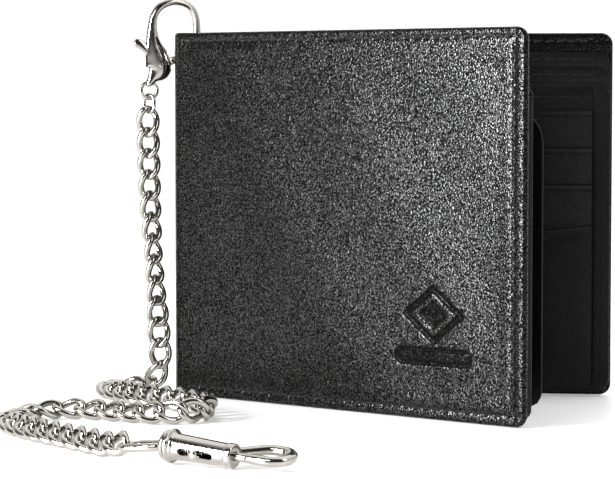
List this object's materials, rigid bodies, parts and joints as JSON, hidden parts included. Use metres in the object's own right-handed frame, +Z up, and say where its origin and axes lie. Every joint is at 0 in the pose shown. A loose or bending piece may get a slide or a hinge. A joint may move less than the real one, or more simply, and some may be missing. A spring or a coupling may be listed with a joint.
{
  "type": "chain wallet",
  "caption": "Leather bifold wallet standing half open, with card slots, a card leaf, and a curb chain from a lobster clasp in the spine to a swivel bolt snap.",
  "frame": {"origin": "middle of the spine's bottom edge, on the surface that the wallet stands on", "axes": "+Z up along the fold, +X into the fold, midway between the covers, +Y towards the back cover"},
  "size_m": [0.1256, 0.1618, 0.1043],
  "materials": {
    "grain_leather": "fine pebbled grain, satin",
    "inner_leather": "smooth, satin",
    "lining_fabric": "fine twill, matt",
    "thread": "twisted polyester, satin",
    "nickel_plate": "bright nickel plate",
    "spring_steel": "bare drawn wire",
    "clear_film": "clear flexible film"
  },
  "bodies": {
    "front_cover": {"front_leather": "grain_leather", "front_lining": "lining_fabric", "front_divider": "lining_fabric", "front_panel": "inner_leather", "front_slot_1": "inner_leather", "front_slot_2": "inner_leather", "front_slot_3": "inner_leather", "front_pocket": "inner_leather", "front_border": "inner_leather", "front_thread": "thread", "chain": "nickel_plate", "swivel_eye": "nickel_plate"},
    "spine": {"spine_leather": "grain_leather", "spine_lining": "inner_leather", "leaf_tab": "inner_leather", "eyelet": "nickel_plate", "eyelet_washer": "nickel_plate", "clasp_body": "nickel_plate", "clasp_pin": "nickel_plate", "clasp_spring": "spring_steel", "jump_ring": "nickel_plate", "connector_link": "nickel_plate"},
    "back_cover": {"back_leather": "grain_leather", "back_lining": "lining_fabric", "back_outer_divider": "lining_fabric", "back_inner_divider": "lining_fabric", "back_panel": "inner_leather", "back_slot_1": "inner_leather", "back_slot_2": "inner_leather", "back_slot_3": "inner_leather", "back_pocket": "inner_leather", "back_border": "inner_leather", "back_thread": "thread"},
    "leaf": {"leaf_panel": "inner_leather", "leaf_frame": "inner_leather", "leaf_window": "clear_film", "leaf_slot_1": "inner_leather", "leaf_slot_2": "inner_leather"},
    "clasp_lever": {"clasp_lever": "nickel_plate"},
    "snap": {"snap_barrel": "nickel_plate", "snap_hook": "nickel_plate", "bolt_spring": "spring_steel"},
    "snap_bolt": {"snap_bolt": "nickel_plate", "bolt_thumb_stud": "nickel_plate"}
  },
  "joints": [
    {"name": "spine_fold", "type": "hinge", "parent": "front_cover", "child": "spine", "pos_m": [0, -0.006, 0], "axis": [0, 0, 1], "range_deg": [-16, 70]},
    {"name": "back_fold", "type": "hinge", "parent": "spine", "child": "back_cover", "pos_m": [0, 0.006, 0], "axis": [0, 0, 1], "range_deg": [-16, 70]},
    {"name": "leaf_turn", "type": "hinge", "parent": "spine", "child": "leaf", "pos_m": [0.0025, 0, 0], "axis": [0, 0, 1], "range_deg": [-13.2, 3.1]},
    {"name": "clasp_lever_pivot", "type": "hinge", "parent": "spine", "child": "clasp_lever", "pos_m": [-0.00496, -0.00479, 0.0865], "axis": [0.6947, -0.7193, 0], "range_deg": [0, 18], "stiffness_Nm_per_rad": 0.03, "springref_deg": -5.73},
    {"name": "snap_swivel", "type": "hinge", "parent": "front_cover", "child": "snap", "pos_m": [0.053, -0.1194, 0.00392], "axis": [0.9879, -0.1388, -0.0698], "continuous": true},
    {"name": "bolt_slide", "type": "slide", "parent": "snap", "child": "snap_bolt", "axis": [-0.9879, 0.1388, 0.0698], "range_m": [0, 0.0034], "stiffness_N_per_m": 500, "springref_m": -0.001, "deforming": ["bolt_spring"]}
  ],
  "couplings": [
    {"joint": "back_fold", "follows": "spine_fold", "ratio": 1},
    {"joint": "leaf_turn", "follows": "spine_fold", "ratio": -0.1875}
  ]
}
